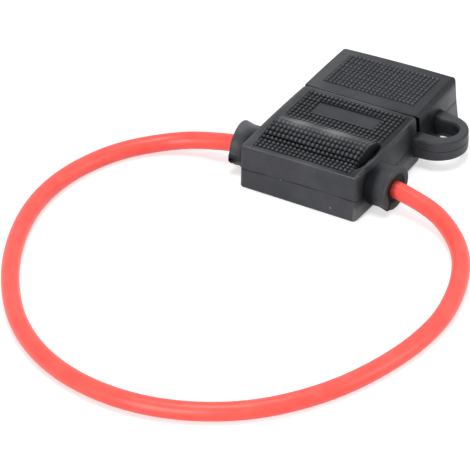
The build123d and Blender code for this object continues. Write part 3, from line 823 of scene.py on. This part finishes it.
def cap_plan(x, y, z):
    """Taper the cap to its end, slant its mouth as the seam slants, bow its end and spread its foot there."""
    along = (y - cap_mouth) / cap_length
    x = x * (14.7 - 0.38 * along + 0.4 * along * (1 - along)) / block_half - 0.28 * along
    slant = -seam_slant * x / block_half + 0.12 * ramp(x, 6.0, 13.5) + 0.08
    spread = (1 - z / thickness) * ramp(y, 18.0, 33.0)
    bow = 0.45 * (1 - ((x - 4.0) / 17.0) ** 2) * ramp(y, 26.0, 33.0)
    y = y + slant * ramp(18.0 - y, 0.0, 3.4) + 0.20 * spread + bow - 0.25
    return x + 0.20 * spread * ramp(x, -6.0, 14.0), y


def cap_shade(x, y, z):
    """Painted shade on the cap's right wall between the seam and the strap and along its top rim, a painted
    reflection on its far end, and painted shade in the seam.
    """
    # Painted shade along the right rim, painted shade by the strap reaching up to the rim near the seam, and
    # a painted reflection on the wall's far end.
    rim_shade = 0.44 * ramp(z, 9.0, 9.8)
    darkening = 0.72 * ramp(26.5 - y, 0.0, 4.5) * ramp(9.3 + 1.6 * ramp(22.0 - y, 0.0, 4.0) - z, 0.0, 2.5)
    end_reflection = 0.35 * ramp(y, 26.0, 32.0) * (1 - ramp(z, 9.2, 9.8))
    in_seam = (y < 14.63 - 0.016 * x) & (z < seam_top)
    return np.where(in_seam, 1.0, (x > 12.6) * np.maximum(darkening - end_reflection, rim_shade - (z < 9.2)))


def cap_top(x, y):
    """Height and mark of painted light and shade of the cap's top face over its plan."""
    near, far, left, right = cap_grip_near, cap_grip_far, cap_grip_left, cap_grip_right
    inside = within(x, left, right) * within(y, near, far)
    dome = domes((x - left) * 22 / (right - left), (y - near) * 12 / (far - near))
    edge = np.minimum(np.abs(x - right), np.abs(y - near) + 10 * (x > right) + 10 * (x < left))
    frame_line = tent(edge + 10 * ((y < near - 0.3) | (y > far)), 0, 0.22)
    height = thickness + settle(x + 5, y) + inside * (0.36 - 0.46 * (1 - dome)) - 0.10 * frame_line
    # Painted shade in the grooves and round the grip.
    grooves = np.clip(np.maximum(inside * 0.72 * np.clip(1.2 - 2.5 * dome, 0, 1), 0.75 * frame_line), 0, 1)
    # The plain margins darker towards the right, less so at the far left.
    darkening = (1 - inside) * (0.12 * ramp(x, -12.0, -6.0) + 0.20 * ramp(x, 2.0, 13.0))
    # Painted shade along the top's right edge.
    right_edge = 0.42 * ramp(x + 0.033 * (y - 14.6), 12.9, 13.6)
    # Painted highlights on the dome tops, and paler at the left margin.
    highlight_and_wear = inside * 0.28 * np.clip(3 * dome - 1.8, 0, 1) + (1 - inside) * 0.12 * ramp(-x, 9.0, 13.0)
    return height, one_mark(np.maximum.reduce([grooves, darkening, right_edge]), highlight_and_wear)


cap_sides = block_sides(
    block_half, cap_mouth, cap_end, near_radius=0.5, far_radius=0.7, across=250, along=170
)
points, faces, marks = block_shell(cap_sides, -1, cap_plan, cap_top, cap_shade)
cap = put_mesh("cap_moulding", points, faces, sharp=50, marks=marks)
cutter_mesh = bpy.data.meshes.new("cavity")
cutter_shape = bmesh.new()
bmesh.ops.create_cube(cutter_shape, size=1)
cutter_shape.to_mesh(cutter_mesh)
cutter_shape.free()
low, high = (np.array(corner) * MM for corner in cavity_corners)
cutter_mesh.transform(Matrix.LocRotScale((low + high) / 2, None, high - low))
cutter = put_object("cavity", cutter_mesh)
cut = cap.modifiers.new("cavity", "BOOLEAN")
cut.object = cutter
cut.solver = "EXACT"
solid_cap = cap.data
cap.data = bpy.data.meshes.new_from_object(cap.evaluated_get(bpy.context.evaluated_depsgraph_get()))
cap.modifiers.clear()
cap.data.name = "cap_moulding"
bpy.data.meshes.remove(solid_cap)
bpy.data.objects.remove(cutter)
bpy.data.meshes.remove(cutter_mesh)
print("cap with its cavity:", count_triangles(cap.data), "triangles")

# %% [markdown]
# ### The strap
#
# The strap is a flat loop that ties the cap to the body. Two lines seen from above bound it: an outer
# one, with a fillet at the body, a round end and a slant to the cap, and an inner one round the eye. Its
# section joins the two, with rounded edges and the parting line's groove round its middle.


# %% Outline of the strap
def strap_line(*stretches):
    """Join stretches of points, each a straight run or an arc, into one line."""
    return np.concatenate([stretch[:-1] for stretch in stretches[:-1]] + [stretches[-1]])


def straight(start, end, count):
    """Evenly spaced points from start to end."""
    return np.array(start) + np.linspace(0, 1, count)[:, None] * (np.array(end) - np.array(start))


wall_x, near_y, far_y, near_leg, far_leg = 14.35, 10.9, 24.9, 3.3, 3.4
root_x = wall_x - 0.6
fillet = 1.5
round_centre, round_radius = np.array((17.8, 17.4)), 6.5
eye_centre, eye_radius = (18.45, 17.85), 3.65
far_corner = np.array((wall_x, far_y))
to_corner = far_corner - round_centre
slant_turn = math.acos(round_radius / np.hypot(*to_corner))
slant_end = math.degrees(math.atan2(to_corner[1], to_corner[0]) - slant_turn)
near_fillet = arc((wall_x + fillet, near_y - fillet), fillet, 180, 90, 9)[0]
round_end = arc(round_centre, round_radius, -90, slant_end, 61)[0]
outer_line = strap_line(
    straight((root_x, near_y - fillet - 0.3), near_fillet[0], 3),
    near_fillet,
    straight(near_fillet[-1], round_end[0], 9),
    round_end,
    straight(round_end[-1], far_corner, 13),
    straight(far_corner, (root_x, far_y), 3),
)
inner_near, inner_far = near_y + near_leg, far_y - far_leg
inner_line = strap_line(
    straight((root_x, inner_near), (wall_x, inner_near), 3),
    straight((wall_x, inner_near), (wall_x + fillet, inner_near), 9),
    straight((wall_x + fillet, inner_near), (eye_centre[0], inner_near), 9),
    arc(eye_centre, eye_radius, -90, 90, 61)[0],
    straight((eye_centre[0], inner_far), (wall_x, inner_far), 13),
    straight((wall_x, inner_far), (root_x, inner_far), 3),
)

# %% [markdown]
# The section has an outer side, with the parting groove, and an inner side, with a swell of flash into
# the eye. Painted shade darkens the outer top edge, the inner side and both roots, and a painted highlight
# lies along the inner top edge. The strap lifts and sags a little along its way, and its lower edge turns up
# towards the tip.

# %% Strap
strap_top, strap_bottom, strap_edge = 7.2, 2.5, 0.45
edge_in = strap_edge * (1 - np.sin(corner_angles))
edge_down = strap_edge * (1 - np.cos(corner_angles))
edge_band = rim_band_share * np.sin(2 * corner_angles)
no_edge = np.zeros(len(corner_angles))
side_z = np.array([6.2, 5.5, 5.2, 5.1, 5.05, 5.0, 4.95, 4.88, 4.7, 3.8])
side_step = np.array([0, 0, 0, 0.02, 0.05, -0.05, -0.06, 0.03, 0.04, 0.02])
groove_marks = [0, 0, 0, 0, 0.3, 1.0, 0.9, 0, 0, 0]
inner_shade = np.full(len(side_z), 0.60)
section_z = np.concatenate((strap_top - edge_down, side_z, strap_bottom + edge_down[::-1]))
outer_inset = np.concatenate((edge_in, -side_step, edge_in[::-1]))
inner_inset = np.concatenate((edge_in, -0.30 * bell(side_z, parting, 1.1), edge_in[::-1]))
# Painted shade on the outer top edge and the inner side, the parting groove dark, and a painted highlight on
# the inner top edge.
section_marks = np.concatenate((0.9 * edge_band, groove_marks, no_edge, no_edge, inner_shade, -0.4 * edge_band))
around_z = np.concatenate((section_z, section_z[::-1]))[None]
across = outer_line - inner_line
unit = across / np.linalg.norm(across, axis=1)[:, None]
outer_side = outer_line[:, None] - unit[:, None] * outer_inset[None, :, None]
inner_side = inner_line[:, None] + unit[:, None] * inner_inset[::-1][None, :, None]
loop_xy = np.concatenate((outer_side, inner_side), 1)
sections = np.arange(len(outer_line))
lift = 0.05 * np.sin(0.09 * sections) + 0.015 * np.sin(0.31 * sections)
tip_up = (around_z < 4.0) * (0.42 * ramp(loop_xy[..., 0], 15.0, 24.0) - 0.24)
loop_z = around_z + lift[:, None] + tip_up
strap_points = np.concatenate((loop_xy, loop_z[..., None]), -1).reshape(-1, 3)
# Painted shade at both roots.
strap_root_shade = 0.75 * ramp(16.9 - loop_xy[..., 0], 0.0, 2.6)
strap_marks = np.where(strap_root_shade > 0.3, np.maximum(section_marks, strap_root_shade), section_marks)
section_size = loop_z.shape[1]
strap_faces = ring_faces(len(sections), section_size).tolist()
strap_faces.append(list(range(section_size)))
strap_faces.append(list(range(loop_z.size - section_size, loop_z.size)))
strap = put_mesh("strap", [strap_points], strap_faces, sharp=40, marks=[strap_marks.ravel()])

# %% [markdown]
# ## The cable
#
# The cable is one loop that was never cut: it leaves the right gland, lies down on the table, and comes
# back into the left gland. Its points are the corners of a smooth curve, and the bevel gives its section.

# %% Cable
cable_radius = 0.00195
lying = cable_radius
cable_points = [
    (0.0182, -0.0059, 0.0051),
    (0.0276, -0.0069, 0.0040),
    (0.0354, -0.0112, 0.0025),
    (0.0418, -0.0186, lying),
    (0.0462, -0.0295, lying),
    (0.0484, -0.0425, lying),
    (0.0463, -0.0578, lying),
    (0.0400, -0.0740, lying),
    (0.0282, -0.0880, lying),
    (0.0108, -0.0956, lying),
    (-0.0084, -0.0946, lying),
    (-0.0256, -0.0854, lying),
    (-0.0394, -0.0684, lying),
    (-0.0476, -0.0495, lying),
    (-0.0492, -0.0335, lying),
    (-0.0448, -0.0188, lying),
    (-0.0372, -0.0100, 0.0021),
    (-0.0282, -0.0062, 0.0035),
    (-0.0182, -0.0060, 0.00505),
]
cable_curve = bpy.data.curves.new("red_cable", "CURVE")
cable_curve.dimensions = "3D"
spline = cable_curve.splines.new("NURBS")
spline.points.add(len(cable_points) - 1)
spline.points.foreach_set("co", np.array([(*point, 1.0) for point in cable_points]).ravel())
spline.order_u = 3
spline.use_endpoint_u = True
cable_curve.resolution_u = 16
cable_curve.bevel_depth = cable_radius
cable_curve.bevel_resolution = 10
cable_curve.use_fill_caps = True
cable_curve.materials.append(red.material)
cable = put_object("red_cable", cable_curve)

# %% [markdown]
# ## Finishes of the CAD pieces
#
# The pieces inside are the frame's own: they only swap their material.

# %% Materials on the frame's pieces
finishes = {
    "terminal_left": tin,
    "terminal_right": tin,
    "conductor_left": copper,
    "conductor_right": copper,
    "insulation_left": red,
    "insulation_right": red,
    "fuse_element": zinc,
    "fuse_housing": shell,
}
for node, finish in finishes.items():
    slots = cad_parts[node].data.materials
    slots.clear()
    slots.append(finish.material)

# %% [markdown]
# ## The table and the surround
#
# The photograph has a white ground and hardly a shadow. The floor and the surround are white to the
# camera and in what gloss mirrors, but as light they are weaker: the floor gives none and keeps only a
# faint shadow, and the surround is bright behind the object and nearly dark in front. The floor lies a
# fiftieth of a millimetre under the part, so the two never share a plane.


# %% Floor and surround
def looking(wire):
    """1 for a ray from the camera, off a gloss or through glass, and 0 for light that falls on a surface."""
    kinds = "Is Camera Ray", "Is Glossy Ray", "Is Transmission Ray"
    camera_ray, glossy_ray, glass_ray = (wire.node("ShaderNodeLightPath", output=kind) for kind in kinds)
    return (camera_ray + glossy_ray + glass_ray).clamp()


floor_glow = 0.52
surround_front, surround_back = 0.03, 0.90

floor_mesh = bpy.data.meshes.new("floor")
floor_mesh.from_pydata([(-3, -3, 0), (3, -3, 0), (3, 3, 0), (-3, 3, 0)], [], [(0, 1, 2, 3)])
floor = put_object("floor", floor_mesh)
floor.location.z = -0.00002
pale = Finish(
    "pale_floor",
    Roughness=0.7,
    Specular_IOR_Level=0.1,
    Base_Color=(0.62, 0.62, 0.62, 1),
    Emission_Color=(1, 1, 1, 1),
)
pale.feed("Emission Strength", looking(pale.place) * floor_glow)
floor_mesh.materials.append(pale.material)

world = bpy.data.worlds.new("surround")
world.use_nodes = True
scene.world = world
surround = world.node_tree.nodes["Background"]
surround.inputs["Color"].default_value = (1, 1, 1, 1)
coordinates = world.node_tree.nodes.new("ShaderNodeTexCoord")
direction = Wire(world.node_tree, coordinates.outputs["Generated"])
backward = direction.node("ShaderNodeSeparateXYZ", output="Y", i0=direction)
strength = surround_front + (surround_back - surround_front) * backward.between(-0.3, 0.6)
shown = strength + looking(backward) * (1.0 - strength)
world.node_tree.links.new(shown.socket, surround.inputs["Strength"])

# %% [markdown]
# ## The lamps
#
# Three soft square lamps face the object: one overhead, one low in front and one on the right. Their
# strengths, in watts, were set by comparing renders with the photograph's greys.

# %% Lamps
lamps = {
    "overhead": ((0.0, -0.05, 1.0), 0.4, 5.0),
    "low_front": ((0.05, -0.9, 0.35), 0.6, 7.5),
    "right": ((0.9, 0.25, 0.35), 0.4, 2.5),
}
for name, (place, size, power) in lamps.items():
    light = bpy.data.lights.new(name, "AREA")
    light.shape = "SQUARE"
    light.size = size
    light.energy = power
    put_facing(name, light, place, (0, 0, 0))
scene.view_settings.view_transform = "Standard"

# %% [markdown]
# ## Which body each piece moves with
#
# The body's pieces stay with the holder and the cap's with the cap. The strap is attached to neither, and its
# place is baked into its mesh.

# %% Bodies and stand-ins
for piece in (body, collar, cable):
    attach(piece, "holder")
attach(cap, "cap")
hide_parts("holder_body")
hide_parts("holder_body")
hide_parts("cap")
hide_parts("cable")
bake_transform(strap)
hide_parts("tether_strap")
